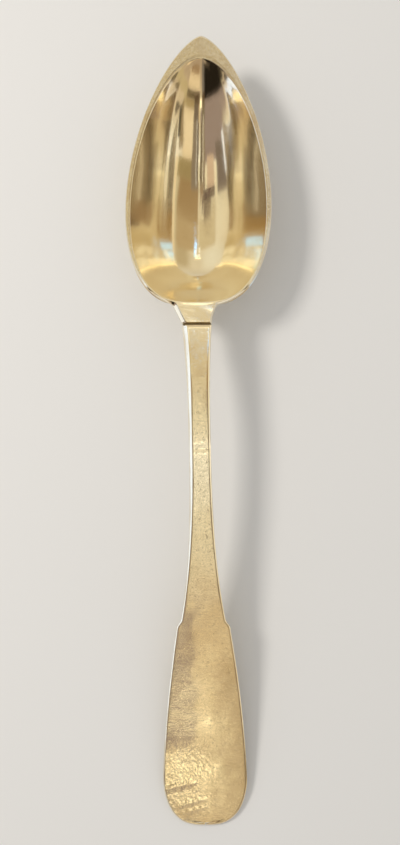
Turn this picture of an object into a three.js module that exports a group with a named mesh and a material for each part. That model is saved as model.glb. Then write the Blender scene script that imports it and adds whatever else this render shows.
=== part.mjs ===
// Stew spoon of the fiddle pattern in silver, lying face up on a table. Sizes in millimetres.
// +Y runs from the handle's end to the bowl's tip, +X to the right and +Z up.
// The origin is on the table, under the middle of the spoon's length and width.

import * as THREE from 'three';

// Driving dimensions: the whole spoon
const spoonLength = 304;
const tipY = spoonLength / 2;
const endY = -spoonLength / 2;

// Driving dimensions: the bowl, a pointed oval with a flat filed rim around its hollow
const bowlLength = 100.9;
const bowlHalfWidth = 27.6;
const bowlWidest = 0.635;
const bowlPoint = 0.67;
const rimBevel = 0.4;
const rimBevelAtTip = 0.8;
const rimBevelAtNeck = 1;
const rimBevelDrop = 0.6;
const rimThickness = 1.3;
const hollowTipMargin = 8.4;
const hollowNeckMargin = 1.5;
const hollowHalfWidth = 25.8;
const hollowWidest = 0.62;
const hollowPoint = 0.55;
const hollowDepth = 18.6;
const hollowRoundness = 1.2;
const tipEndPower = 3;
const neckEndPower = 3.5;
const wall = 1.2;
const wallThinning = 0.65;
const wallThinningPower = 1.5;
const deepestY = 85;
const backFillet = 1.6;
const wornShare = 0.13;

// Driving dimensions: the side view, as heights of the top surface above the table
const lowestRimY = 92;
const lowestRimHeight = 19.6;
const tipRise = 3;
const neckRise = 3.4;
const neckRisePower = 2.5;
const archHeight = 34.8;
const approachHeight = 8;
const endHeight = 1.9;

// Driving dimensions: the neck, where the bowl's tongue laps over the handle's root
const seamY = 44.6;
const seamGap = 0.6;
const tongueFlare = { left: 0.47, right: 0.06 };
const tongueCurve = { left: 0.005, right: 0.03 };
const tongueFlareEnd = 12;
const tongueThickness = 2;
const tongueThinning = 8;
const neckFillet = { left: 2.6, right: 1.2 };
const neckCorner = 8;
const lapGap = 0.5;
const solderClearance = 0.1;
const solderFillet = 0.25;
const solderBeadStep = 0.02;
const solderBreakBefore = 1.2;
const solderBreakAfter = 0.9;
const beadBelowTop = 1;

// Driving dimensions: the handle
const waistY = 4.7;
const waistHalfWidth = 4.05;
const neckHalfWidth = 5.6;
const neckFlare = 2.4;
const stemFootHalfWidth = 8.55;
const stemFlare = 2.9;
const shoulderY = -67.6;
const shoulderLength = 2.3;
const shoulderHalfWidth = 10.2;
const fiddleHalfWidth = 16.5;
const fiddleFlare = 1.5;
const endRoundLength = 19.3;
const endRoundPower = 0.345;
const neckThickness = 5;
const waistThickness = 3.9;
const fiddleThickness = 2.3;
const fiddleThinning = 20;
const bevel = {
  left: { neck: 1.85, waist: 1.2, end: 0.55 },
  right: { neck: 0.75, waist: 0.65, end: 0.4 },
};
const bevelSlope = 0.95;
const lowerBevel = 0.9;
const lowerBevelDrop = 0.72;

// Driving dimensions: the slight bend in plan, where bowl and handle lean to opposite sides
const bendY = 46;
const bowlLean = 0.021;
const handleSway = 2.23;

// Driving dimensions: the drop, the handle's root spread on the back of the bowl
const dropY = 62;
const dropHalfWidth = 5.6;
const dropRoundLength = 7;
const dropThickness = 1.1;
const rootThickness = 3.4;
const rootInset = 0.3;
const rootBack = [[1, 0.25], [0.97, 0.6], [0.6, 1], [0, 1.05], [-0.6, 1], [-0.97, 0.6], [-1, 0.25]];

// How finely the faces follow the curves
const floorHalfWidth = 25;
const floorHalfLength = 45;
const floorBlend = 0.8;
const sideSteps = 29;
const tongueSteps = 3;
const seamSteps = 2;
const upperStemSteps = 10;
const lowerStemSteps = 16;
const fiddleSteps = 12;
const endSteps = 12;
const dropEndSteps = 6;
const rootSteps = 12;
const lapFilmSteps = 4;
const dropFilmSteps = 12;
const hollowShares = [0.2, 0.4, 0.58, 0.74, 0.87, 0.95, 1];
const backShares = [1, 0.975, 0.95, 0.91, 0.84, 0.72, 0.56, 0.38, 0.22, wornShare];
const acrossShares = [-1, -0.5, 0, 0.5, 1];
const bluntestTurn = 0.999999;
const bluntestDrop = 0.1;
const searchSteps = 40;
const outlineSamples = 2000;
const slopeStep = 0.5;
const nearlyZero = 1e-6;

const shoulderFootY = shoulderY - shoulderLength;
const endRoundY = endY + endRoundLength;
const neckY = tipY - bowlLength;
const widestY = tipY - bowlLength * bowlWidest;

const bowlOval = ovalBetween(tipY, neckY, bowlHalfWidth, bowlWidest, bowlPoint);
const rimOval = shrunk(bowlOval, rimBevelAtTip, rimBevelAtNeck, rimBevel);
const hollowHead = tipY - hollowTipMargin;
const hollowTail = neckY + hollowNeckMargin;
const hollowOval = ovalBetween(hollowHead, hollowTail, hollowHalfWidth, hollowWidest, hollowPoint);
const backOval = shrunk(hollowOval, -wall, -wall, -wall);

function ovalBetween(head, tail, halfWidth, widest, point) {
  return { head, tail, halfWidth, widest, point };
}

function shrunk(shape, atHead, atTail, atSide) {
  const { head, tail, halfWidth, widest, point } = shape;
  return ovalBetween(head - atHead, tail + atTail, halfWidth - atSide, widest, point);
}

function mix(from, to, share) {
  return from + (to - from) * share;
}

function clamp(value, low, high) {
  return THREE.MathUtils.clamp(value, low, high);
}

function smoothStep(from, to, value) {
  return THREE.MathUtils.smoothstep(value, from, to);
}

function steps(from, to, count) {
  return Array.from({ length: count + 1 }, (_, step) => mix(from, to, step / count));
}

// The largest value up to a limit for which a test still holds
function lastThatHolds(limit, holds) {
  let low = 0;
  let high = limit;
  for (let step = 0; step < searchSteps; step++) {
    const middle = (low + high) / 2;
    if (holds(middle)) {
      low = middle;
    } else {
      high = middle;
    }
  }
  return low;
}

// Half width of a pointed oval at y: its powers set how sharp the head is and how blunt the tail
function ovalHalfWidth(shape, y) {
  const along = clamp((shape.head - y) / (shape.head - shape.tail), 0, 1);
  const blunt = shape.point * (1 - shape.widest) / shape.widest;
  const headSide = (along / shape.widest) ** shape.point;
  const tailSide = ((1 - along) / (1 - shape.widest)) ** blunt;
  return shape.halfWidth * headSide * tailSide;
}

// The larger of two half widths, with a fillet where they meet
function filletedMax(a, b, fillet) {
  const overlap = Math.max(fillet - Math.abs(a - b), 0);
  return Math.max(a, b) + overlap * overlap / (4 * fillet);
}

// Height of the top surface along the middle: the rim's sheer, then the arch of the handle
function topHeight(y) {
  if (y >= lowestRimY) {
    return lowestRimHeight + tipRise * ((y - lowestRimY) / (tipY - lowestRimY)) ** 2;
  }
  if (y >= seamY) {
    return lowestRimHeight + neckRise * ((lowestRimY - y) / (lowestRimY - seamY)) ** neckRisePower;
  }
  const t = (seamY - y) / (seamY - endY);
  const rest = 1 - t;
  const nearNeck = (lowestRimHeight + neckRise) * rest ** 3 + 3 * archHeight * t * rest ** 2;
  return nearNeck + 3 * approachHeight * t ** 2 * rest + endHeight * t ** 3;
}

// How far the spoon's middle lies to the right of a straight line from the handle's end to the tip
function sidewaysBend(y) {
  if (y >= bendY) {
    return bowlLean * (y - widestY);
  }
  const share = (bendY - y) / (bendY - endY);
  return bowlLean * (bendY - widestY) + handleSway * share * (2 - share);
}

// Widths of the left and right bevels along the handle and neck
function bevelWidth(side, y) {
  const { neck, waist, end } = bevel[side];
  return y >= waistY
    ? mix(waist, neck, smoothStep(waistY, seamY, y))
    : mix(waist, end, smoothStep(waistY, shoulderFootY, y));
}

// Half width of the tongue's top face on one side: narrow at the seam, flaring to the bowl
function tongueHalf(side, y) {
  const run = clamp(y - seamY, 0, tongueFlareEnd);
  const start = neckHalfWidth - bevel[side].neck;
  return start + tongueFlare[side] * run + tongueCurve[side] * run * run;
}

// Half width of the bowl and tongue together, for one of the bowl's ovals
function bowlAndTongueHalf(shape, side, y, tongueExtra) {
  const half = ovalHalfWidth(shape, y);
  return y > lowestRimY ? half : filletedMax(half, tongueHalf(side, y) + tongueExtra, neckFillet[side]);
}

// One side of an outline between two places along it, with its points evenly spaced
class OutlineSide extends THREE.Curve {
  constructor(head, tail, halfWidth) {
    super();
    this.arcLengthDivisions = outlineSamples;
    this.head = head;
    this.tail = tail;
    this.halfWidth = halfWidth;
  }

  getPoint(t, target = new THREE.Vector2()) {
    const y = mix(this.head, this.tail, (1 - Math.cos(Math.PI * t)) / 2);
    return target.set(this.halfWidth(y), y);
  }
}

// Points down one side of an outline: beside the bowl to the neck's corner, then on to its tail
function outlineParts(shape, tail, halfWidth, lastSteps) {
  const isNarrow = (rise) => ovalHalfWidth(shape, shape.tail + rise) < neckCorner;
  const cornerY = shape.tail + lastThatHolds(neckCorner, isNarrow);
  const besideBowl = new OutlineSide(shape.head, cornerY, halfWidth).getSpacedPoints(sideSteps);
  const belowCorner = new OutlineSide(cornerY, tail, halfWidth).getSpacedPoints(lastSteps);
  return [...besideBowl, ...belowCorner.slice(1)];
}

// A closed loop of points that starts at the head, runs down the right side and comes back up the left
function closedLoop(sidePoints) {
  const right = sidePoints('right');
  const left = sidePoints('left');
  const mirrored = left.slice(1, -1).reverse().map((point) => new THREE.Vector2(-point.x, point.y));
  return [...right, ...mirrored];
}

// The outline of the bowl piece: down the side to the seam, then across the tongue's end
function bowlLoop(shape, tongueExtra) {
  return closedLoop((side) => {
    const halfWidth = (y) => bowlAndTongueHalf(shape, side, y, tongueExtra(side, y));
    const points = outlineParts(shape, seamY, halfWidth, tongueSteps);
    const corner = points[points.length - 1].x;
    const across = steps(corner, 0, seamSteps).slice(1).map((x) => new THREE.Vector2(x, seamY));
    return [...points, ...across];
  });
}

// The outline of the hollow or of its back, with as many points as the bowl's outline
function ovalLoop(shape) {
  const halfWidth = (y) => ovalHalfWidth(shape, y);
  return closedLoop(() => outlineParts(shape, shape.tail, halfWidth, tongueSteps + seamSteps));
}

// Depth of the hollow inside an oval: round from side to side, and flatter from end to end
function depthAt(shape, x, y) {
  const toTip = y > deepestY;
  const end = toTip ? shape.head : shape.tail;
  const along = clamp((y - deepestY) / (end - deepestY), 0, 1) ** (toTip ? tipEndPower : neckEndPower);
  const across = clamp(Math.abs(x) / Math.max(ovalHalfWidth(shape, y), nearlyZero), 0, 1);
  const rise = Math.hypot(across, hollowRoundness) - hollowRoundness;
  const fullRise = Math.hypot(1, hollowRoundness) - hollowRoundness;
  return hollowDepth * (1 - along) * (1 - rise / fullRise);
}

// How far a ring of points reaches from the deepest point: an ellipse on the floor, growing into the edge
function ringReach(edgeReach, dx, dy, share) {
  const floorReach = Math.hypot(dx, dy) / Math.hypot(dx / floorHalfWidth, dy / floorHalfLength);
  return share * mix(floorReach, edgeReach, smoothStep(0, floorBlend, share));
}

function hollowHeight(x, y) {
  return topHeight(y) - depthAt(hollowOval, x, y);
}

// The point of a ring on the way from the deepest point to a point of the edge
function ringPoint(edge, share) {
  const dx = edge.x;
  const dy = edge.y - deepestY;
  const edgeReach = Math.hypot(dx, dy);
  const scale = ringReach(edgeReach, dx, dy, share) / edgeReach;
  return new THREE.Vector2(dx * scale, deepestY + dy * scale);
}

// Thickness of the flat rim, which grows to the tongue's thickness at the neck
function plateThickness(y) {
  return mix(tongueThickness, rimThickness, smoothStep(neckY, neckY + tongueThinning, y));
}

// Height of the underside of the bowl piece, worn flat where it would reach the table
function backHeight(x, y) {
  const depth = depthAt(backOval, x, y);
  const below = wall * (1 - wallThinning * (1 - depth / hollowDepth) ** wallThinningPower);
  return Math.max(topHeight(y) - filletedMax(depth + below, plateThickness(y), backFillet), 0);
}

function atHeight(loop, heightOf) {
  return loop.map(({ x, y }) => new THREE.Vector3(x, y, heightOf(x, y)));
}

// A closed body from rings of equally many points, closed at both ends by a fan around the ring's middle
function bodyFromRings(rings) {
  const count = rings[0].length;
  const points = rings.flat();
  const indices = [];
  for (let ring = 0; ring < rings.length - 1; ring++) {
    for (let i = 0; i < count; i++) {
      const a = ring * count + i;
      const b = ring * count + (i + 1) % count;
      indices.push(a, b, b + count, a, b + count, a + count);
    }
  }
  for (const [first, turn] of [[0, -1], [(rings.length - 1) * count, 1]]) {
    const ring = points.slice(first, first + count);
    const middle = ring.reduce((sum, point) => sum.add(point), new THREE.Vector3()).divideScalar(count);
    const centre = points.push(middle) - 1;
    for (let i = 0; i < count; i++) {
      const a = first + i;
      const b = first + (i + 1) % count;
      indices.push(centre, turn > 0 ? a : b, turn > 0 ? b : a);
    }
  }
  const bent = points.map((point) => new THREE.Vector3(point.x + sidewaysBend(point.y), point.y, point.z));
  const geometry = new THREE.BufferGeometry().setFromPoints(bent);
  geometry.setIndex(indices);
  geometry.computeVertexNormals();
  return geometry;
}

// The bowl: hollow, flat rim, bevelled edge, underside of the rim and tongue, and back
function bowlGeometry() {
  const hollowLoop = ovalLoop(hollowOval);
  const backLoop = ovalLoop(backOval);
  const topLoop = bowlLoop(rimOval, () => 0);
  const edgeLoop = bowlLoop(bowlOval, bevelWidth);
  const ring = (loop, share) => loop.map((edge) => ringPoint(edge, share));
  const backHeightAt = (share) => (share > wornShare ? backHeight : () => 0);
  return bodyFromRings([
    ...hollowShares.map((share) => atHeight(ring(hollowLoop, share), hollowHeight)),
    atHeight(topLoop, (x, y) => topHeight(y)),
    atHeight(edgeLoop, (x, y) => topHeight(y) - plateThickness(y) * rimBevelDrop),
    atHeight(edgeLoop, (x, y) => topHeight(y) - plateThickness(y)),
    ...backShares.map((share) => atHeight(ring(backLoop, share), backHeightAt(share))),
  ]);
}

// Half width of the handle's widest outline at y
function handleHalf(y) {
  if (y >= waistY) {
    return mix(waistHalfWidth, neckHalfWidth, ((y - waistY) / (seamY - waistY)) ** neckFlare);
  }
  if (y >= shoulderY) {
    return mix(waistHalfWidth, stemFootHalfWidth, ((waistY - y) / (waistY - shoulderY)) ** stemFlare);
  }
  if (y >= shoulderFootY) {
    return mix(stemFootHalfWidth, shoulderHalfWidth, (shoulderY - y) / shoulderLength);
  }
  if (y >= endRoundY) {
    const left = (y - endRoundY) / (shoulderFootY - endRoundY);
    return mix(fiddleHalfWidth, shoulderHalfWidth, left ** fiddleFlare);
  }
  const round = Math.min((endRoundY - y) / endRoundLength, 1);
  return fiddleHalfWidth * (1 - round ** 2) ** endRoundPower;
}

// A point of the handle's outline moved inwards, on one side, so that a bevel keeps its width around the end
function insetPoint(side, y, inset) {
  const sign = side === 'left' ? -1 : 1;
  const half = handleHalf(y);
  if (y >= endRoundY) {
    return new THREE.Vector2(sign * (half - inset), y);
  }
  const round = (endRoundY - y) / endRoundLength;
  const scale = 1 - inset / fiddleHalfWidth;
  return new THREE.Vector2(sign * half * scale, endRoundY - round * (endRoundLength - inset));
}

function handleThickness(y) {
  return y >= waistY
    ? mix(waistThickness, neckThickness, smoothStep(waistY, seamY, y))
    : mix(waistThickness, fiddleThickness, smoothStep(waistY, endRoundY + fiddleThinning, y));
}

// Points in even steps from one point to another, both included
function pointsBetween(from, to) {
  return acrossShares.map((across) => new THREE.Vector3().lerpVectors(from, to, (1 + across) / 2));
}

// One ring of the handle between its end and the seam
function handleRing(y) {
  const thickness = handleThickness(y);
  const place = (side, inset, drop) => {
    const point = insetPoint(side, y, inset);
    return new THREE.Vector3(point.x, point.y, Math.max(topHeight(point.y) - drop, 0));
  };
  const left = bevelWidth('left', y);
  const right = bevelWidth('right', y);
  const lowRight = place('right', lowerBevel, thickness);
  const lowLeft = place('left', lowerBevel, thickness);
  return [
    ...pointsBetween(place('left', left, 0), place('right', right, 0)),
    place('right', 0, right * bevelSlope),
    place('right', 0, thickness - lowerBevelDrop),
    lowRight,
    new THREE.Vector3().lerpVectors(lowRight, lowLeft, 0.5),
    lowLeft,
    place('left', 0, thickness - lowerBevelDrop),
    place('left', 0, left * bevelSlope),
  ];
}

// Half width of the root and drop under the bowl, with a round end
function rootHalf(y) {
  const root = mix(neckHalfWidth - rootInset, dropHalfWidth, smoothStep(seamY, neckY, y));
  const round = clamp((y - (dropY - dropRoundLength)) / dropRoundLength, 0, 1);
  return root * Math.sqrt(1 - round ** 2);
}

// A point below the underside of the bowl piece, at a depth measured square to it
function pointUnderBowl(x, y, depth) {
  const slope = (backHeight(0, y - slopeStep) - backHeight(0, y + slopeStep)) / (2 * slopeStep);
  return new THREE.Vector3(x, y, backHeight(x, y) - depth * Math.hypot(1, slope));
}

// One ring of the handle's root, lapped under the tongue and laid along the back of the bowl
function rootRing(y) {
  const half = rootHalf(y);
  const thickness = mix(rootThickness, dropThickness, smoothStep(neckY, dropY, y));
  return [
    ...acrossShares.map((across) => pointUnderBowl(across * half, y, lapGap)),
    ...rootBack.map(([across, down]) => pointUnderBowl(across * half, y, lapGap + thickness * down)),
  ];
}

// The handle: drop, root, the step of the lap joint, stem, shoulders and fiddle end
function handleGeometry() {
  const roundEnd = steps(0, Math.PI / 2, endSteps).slice(1);
  const stations = [
    ...steps(seamY - seamGap, waistY, upperStemSteps),
    ...steps(waistY, shoulderY, lowerStemSteps).slice(1),
    shoulderFootY,
    ...steps(shoulderFootY, endRoundY, fiddleSteps).slice(1),
    ...roundEnd.map((angle) => endRoundY - endRoundLength * Math.min(Math.sin(angle), bluntestTurn)),
  ];
  const rootStations = [
    ...steps(dropY - bluntestDrop, dropY - dropRoundLength, dropEndSteps),
    ...steps(dropY - dropRoundLength, seamY - seamGap, rootSteps).slice(1),
  ];
  const rings = [...rootStations.map(rootRing), ...stations.map(handleRing)];
  return bodyFromRings(rings.reverse());
}

// One ring of a film of solder between the bowl piece and the root
function solderRing(y, half, topDepth) {
  const lowDepth = lapGap - 2 * solderClearance;
  const top = acrossShares.map((across) => pointUnderBowl(across * half, y, topDepth));
  const low = acrossShares.map((across) => pointUnderBowl(across * half, y, lowDepth));
  return [...top, ...low.reverse()];
}

// The solder in the lap, with the bead that stands in the seam behind the tongue's end
function lapSolderGeometry() {
  const beadDepth = beadBelowTop - tongueThickness;
  const beadEnd = seamY - solderClearance;
  const bead = [seamY - seamGap + solderClearance, beadEnd];
  const film = steps(beadEnd + solderBeadStep, neckY - solderBreakBefore, lapFilmSteps);
  return bodyFromRings([
    ...bead.map((y) => solderRing(y, rootHalf(y), beadDepth)),
    ...film.map((y) => solderRing(y, rootHalf(y), solderClearance)),
  ]);
}

// The solder around and under the drop, a little proud of its outline
function dropSolderGeometry() {
  const film = steps(neckY - solderBreakAfter, dropY + solderFillet - bluntestDrop, dropFilmSteps);
  const half = (y) => rootHalf(y - solderFillet) + solderFillet;
  return bodyFromRings(film.map((y) => solderRing(y, half(y), solderClearance)));
}

const silver = { color: 0xd8cba6, roughness: 0.22, metalness: 1 };
const solder = { color: 0xb9ab8a, roughness: 0.4, metalness: 1 };

function part(name, geometry, material) {
  const mesh = new THREE.Mesh(geometry, new THREE.MeshStandardMaterial(material));
  mesh.name = name;
  return mesh;
}

const spoon = new THREE.Group();
spoon.add(part('bowl', bowlGeometry(), silver));
spoon.add(part('handle', handleGeometry(), silver));
spoon.add(part('lap_solder', lapSolderGeometry(), solder));
spoon.add(part('drop_solder', dropSolderGeometry(), solder));

export default spoon;
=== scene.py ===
"""Looks of the stew spoon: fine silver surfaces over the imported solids, a plain studio and the camera.

Sizes are in millimetres and become metres where a mesh, light or camera is made.
Places in the materials are in metres.
+Y runs from the handle's end to the bowl's tip, +X to the right and +Z up.
"""

import math
from collections import namedtuple

import bpy
import numpy as np
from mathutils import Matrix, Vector


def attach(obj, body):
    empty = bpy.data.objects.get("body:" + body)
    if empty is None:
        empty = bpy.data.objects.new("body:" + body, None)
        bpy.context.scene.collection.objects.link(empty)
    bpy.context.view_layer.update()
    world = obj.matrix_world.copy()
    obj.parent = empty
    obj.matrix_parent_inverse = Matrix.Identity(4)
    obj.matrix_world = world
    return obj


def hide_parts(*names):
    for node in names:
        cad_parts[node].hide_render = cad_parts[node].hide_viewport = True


MM = 0.001

# The whole spoon
SPOON_LENGTH = 304
TIP_Y = SPOON_LENGTH / 2
END_Y = -SPOON_LENGTH / 2

# The bowl
BOWL_LENGTH = 100.9
BOWL_HALF_WIDTH = 27.6
BOWL_WIDEST = 0.635
BOWL_POINT = 0.67
RIM_BEVEL = 0.4
RIM_BEVEL_AT_TIP = 0.8
RIM_BEVEL_AT_NECK = 1
RIM_BEVEL_DROP = 0.6
RIM_THICKNESS = 1.3
HOLLOW_TIP_MARGIN = 8.4
HOLLOW_NECK_MARGIN = 1.5
HOLLOW_HALF_WIDTH = 25.8
HOLLOW_WIDEST = 0.62
HOLLOW_POINT = 0.55
HOLLOW_DEPTH = 18.6
HOLLOW_ROUNDNESS = 1.2
TIP_END_POWER = 3
NECK_END_POWER = 3.5
WALL = 1.2
WALL_THINNING = 0.65
WALL_THINNING_POWER = 1.5
DEEPEST_Y = 85
FLOOR_HALF_WIDTH = 25
FLOOR_HALF_LENGTH = 45
FLOOR_BLEND = 0.8
BACK_FILLET = 1.6
WORN_SHARE = 0.13
CREASE_FILLET = 0.3
RIM_SATIN_START = 2.5

# The side view
LOWEST_RIM_Y = 92
LOWEST_RIM_HEIGHT = 19.6
TIP_RISE = 3
NECK_RISE = 3.4
NECK_RISE_POWER = 2.5
ARCH_HEIGHT = 34.8
APPROACH_HEIGHT = 8
END_HEIGHT = 1.9

# The neck
SEAM_Y = 44.6
SEAM_GAP = 0.6
TONGUE_FLARE = {"left": 0.47, "right": 0.06}
TONGUE_CURVE = {"left": 0.005, "right": 0.03}
TONGUE_FLARE_END = 12
NECK_FILLET = {"left": 2.6, "right": 1.2}
NECK_CORNER = 8
TONGUE_THICKNESS = 2
TONGUE_THINNING = 8
TONGUE_LIP = 0.5
LAP_GAP = 0.5
SOLDER_CLEARANCE = 0.1
SOLDER_FILLET = 0.25
SOLDER_BEAD_STEP = 0.02
SOLDER_BREAK_BEFORE = 1.2
SOLDER_BREAK_AFTER = 0.9
BEAD_BELOW_TOP = 1
STEP_LIP = 1.3
STEP_LIP_DROP = 0.55
STEP_LIP_ROUNDNESS = 0.98

# The handle
WAIST_Y = 4.7
WAIST_HALF_WIDTH = 4.05
NECK_HALF_WIDTH = 5.6
NECK_FLARE = 2.4
STEM_FOOT_HALF_WIDTH = 8.55
STEM_FLARE = 2.9
SHOULDER_Y = -67.6
SHOULDER_LENGTH = 2.3
SHOULDER_HALF_WIDTH = 10.2
FIDDLE_HALF_WIDTH = 16.5
FIDDLE_FLARE = 1.5
END_ROUND_LENGTH = 19.3
END_ROUND_POWER = 0.345
NECK_THICKNESS = 5
WAIST_THICKNESS = 3.9
FIDDLE_THICKNESS = 2.3
FIDDLE_THINNING = 20
BEVEL = {
    "left": {"neck": 1.85, "waist": 1.2, "end": 0.55},
    "right": {"neck": 0.75, "waist": 0.65, "end": 0.4},
}
BEVEL_SLOPE = 0.95
LOWER_BEVEL = 0.9
LOWER_BEVEL_DROP = 0.72
TOP_MARGIN = 0.7
BACK_MARGIN = 1.2
EDGE_ROUNDING = 0.12
SHOULDER_WEAR = 0.5
SHOULDER_WEAR_END = 5

# The slight bend in plan between bowl and handle
BEND_Y = 46
BOWL_LEAN = 0.021
HANDLE_SWAY = 2.23

# The drop on the back of the bowl
DROP_Y = 62
DROP_HALF_WIDTH = 5.6
DROP_ROUND_LENGTH = 7
DROP_THICKNESS = 1.1
ROOT_THICKNESS = 3.4
ROOT_INSET = 0.3
ROOT_CROWN = 1.05
ROOT_SQUARENESS = 0.7

SHOULDER_FOOT_Y = SHOULDER_Y - SHOULDER_LENGTH
END_ROUND_Y = END_Y + END_ROUND_LENGTH
STEP_Y = SEAM_Y - SEAM_GAP
NECK_Y = TIP_Y - BOWL_LENGTH

# Unevenness of the hand-worked surfaces. The hollow's streaks start and stop at shares of its half width,
# and begin at a distance from its tail.
TONGUE_RIPPLES_FADE = (-1, 2.5)
TONGUE_RIPPLE_STRETCH = 0.45
EDGE_RIPPLE_STRETCH = 3
STREAK_STRETCH = 0.07
STREAKS_START = (0.2, 0.5)
STREAKS_STOP = (0.85, 1)
STREAKS_OFF_TAIL = (6, 22)
RELIEF_FADE = 1
FIDDLE_CROWN = 0.12
CROWN_RUN = 20
FIDDLE_DISH = 0.28
DISH_START_Y = -113
DISH_FULL_Y = -122
END_FALL_Y = -126
END_FALL_SLOPE = 0.018

# Worn straight dents in the handle's top: middle, half length, half width, turn and depth
DENTS = [
    ((0, -1.8), 9, 1.1, 0.03, 0.035),
    ((-10.5, -135.5), 8, 1.2, 0.26, 0.10),
    ((-5.5, -142.6), 7, 0.8, 0.3, 0.06),
    ((-3.5, -145.4), 5, 0.7, 0.3, 0.05),
]
DENT_FADE = 0.6

# The edge around the bowl, as shares of the way from the flat rim outwards, and down through the plate
RIM_SECTION = [(-0.1, 0), (0, 0), (1, RIM_BEVEL_DROP), (1, 1), (0.9, 1)]
RIM_SECTION_ROUNDING = 0.3
RIM_SECTION_INWARDS = 0.2

# How finely the surfaces are cut
SIDE_STEPS = 210
TONGUE_STEPS = 20
SEAM_STEPS = 20
TOP_STEPS = 28
BOTTOM_STEPS = 16
CORNER_STEPS = 4
END_RINGS = 56
FIDDLE_RINGS = 110
SHOULDER_RINGS = 24
SHOULDER_MARGIN = 1
SHOULDER_SAMPLES = 7
STEM_RINGS = 200
LIP_RINGS = 12
ROOT_RINGS = 44
DROP_RINGS = 20
FILM_POINTS = 17
LAP_FILM_RINGS = 16
DROP_FILM_RINGS = 60
HOLLOW_SHARES = [*np.linspace(0.01, 0.985, 72), 0.99, 0.994, 0.997, 1, 1.003, 1.006, 1.01]
RIM_SHARES = np.linspace(0, 1, 15)[1:-1]
PLATE_SHARES = np.linspace(0.12, 0.9, 6)
BACK_SHARES = [*np.linspace(1, 0.9, 9), *np.linspace(0.88, WORN_SHARE, 40), 0.08, 0.01]
SATIN_RINGS_OF_HOLLOW = 4
MIRROR_RINGS_OF_RIM = 12
OUTLINE_SAMPLES = 6001
CORNER_SEARCH = 0.1
CORNER_SAMPLES = 2001
BLUNTEST_TURN = 0.999999
BLUNTEST_DROP = 0.995
SLOPE_STEP = 0.5
NEARLY_ZERO = 1e-6

# The metals: each noise has a scale, a detail and a roughness, and each range is where a mask changes.
# A bump has a strength and, in millimetres, a distance.
TARNISH_CLOUD = (45.0, 4.0, 0.6)
TARNISH_RANGE = (0.42, 0.75)
HAZE = (420.0, 3.0, 0.6)
HAZE_ROUGHNESS = 0.05
GRAIN = (2600.0, 2.0, 0.5)
SILVER_BUMP = (0.35, 0.02)

# Scratches on the silver: turn, and length and width in millimetres
SCRATCHES = [(0.1, 26, 0.16), (1.45, 20, 0.14), (-0.7, 12, 0.12), (0.65, 15, 0.13), (2.6, 9, 0.2)]
SCRATCH_SHIFT = (0.37, 0.61, 0)
SCRATCH_RANGE = (0.64, 0.70)
SCRATCH_ROUGHNESS = 0.12
SCRATCH_DEPTH = 0.5

# Pits all over the handle, and dimples and short scratches on the left of its end
PEEL = (560.0, 3.0, 0.6)
PEEL_X_RANGE = (-0.004, 0.008)
PEEL_Y_RANGE = (-0.122, -0.114)
PEEL_HEIGHT = 12.0
PITS = (950.0, 1.0)
PIT_RANGE = (0.66, 0.74)
DASH_STRETCH = (260, 1500, 1)
DASH_RANGE = (0.60, 0.66)
DASH_X_RANGE = (-0.013, -0.009)
DASH_Y_RANGE = (-0.075, -0.068)
MARK_DEPTH = 2.0

# The filed rim and the solder
RIM_CLOUD = (130.0, 3.0, 0.6)
RIM_CLOUD_RANGE = (0.45, 0.75)
RIM_CLOUD_SHARE = 0.5
RIM_SPECKLE = (1500.0, 3.0, 0.7)
RIM_SPECKLE_RANGE = (0.35, 0.65)
RIM_SPECKLE_HEIGHT = 0.6
RIM_GRAIN = (3200.0, 3.0, 0.6)
RIM_TINTS = [(0.78, 0.69, 0.50), (0.90, 0.82, 0.63), (0.70, 0.57, 0.36)]
RIM_ROUGHNESS = (0.17, 0.31)
RIM_BUMP = (0.35, 0.008)
SOLDER_CLOUD = (500.0, 2.0, 0.5)
SOLDER_GRAIN = (3000.0, 4.0, 0.6)
# The solder's tints are dark: partly its tarnish, partly painted shade standing in for the shaded groove at
# the seam
SOLDER_TARNISH_AND_SHADE_TINTS = [(0.52, 0.44, 0.31), (0.30, 0.25, 0.18)]
SOLDER_ROUGHNESS = (0.35, 0.55)
SOLDER_BUMP = (0.5, 0.05)

# The floor
FLOOR_SIZE = 6000
FLOOR_DROP = 0.05
FLOOR_TINT = (0.80, 0.79, 0.77)
FLOOR_ROUGHNESS = 0.85

# The studio overhead, as places on a plan of the sky: 0 is straight up and 1 is the horizon.
# The ceiling's colours run from the horizon behind the handle, over the top, to the one past the tip.
# Each panel has a colour, a middle, half sizes, a turn in degrees and a softness.
# Only mirrored rays see these: rough surfaces have the room light, and the camera sees the backdrop.
CEILING = [
    (0.0, (0.60, 0.52, 0.42)),
    (0.19, (0.50, 0.38, 0.25)),
    (0.30, (0.78, 0.63, 0.42)),
    (0.34, (0.86, 0.70, 0.47)),
    (0.40, (1.02, 0.92, 0.68)),
    (0.44, (1.12, 1.05, 0.86)),
    (0.4635, (1.12, 1.06, 0.88)),
    (0.4660, (1.80, 1.72, 1.40)),
    (0.4690, (1.70, 1.62, 1.30)),
    (0.4710, (1.12, 1.02, 0.79)),
    (0.50, (1.02, 0.92, 0.67)),
    (0.55, (0.90, 0.79, 0.55)),
    (0.60, (0.84, 0.72, 0.49)),
    (0.65, (0.78, 0.68, 0.48)),
    (0.75, (0.82, 0.72, 0.52)),
    (0.85, (0.74, 0.66, 0.50)),
    (1.0, (0.86, 0.84, 0.80)),
]
HORIZON = (1.15, 1.12, 1.05)
HORIZON_RANGE = (0.88, 0.97)
LEAST_SPREAD = 0.05
ROOM_LIGHT = (0.60, 0.59, 0.575)
BACKDROP = (1.0, 1.0, 1.0)
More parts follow.
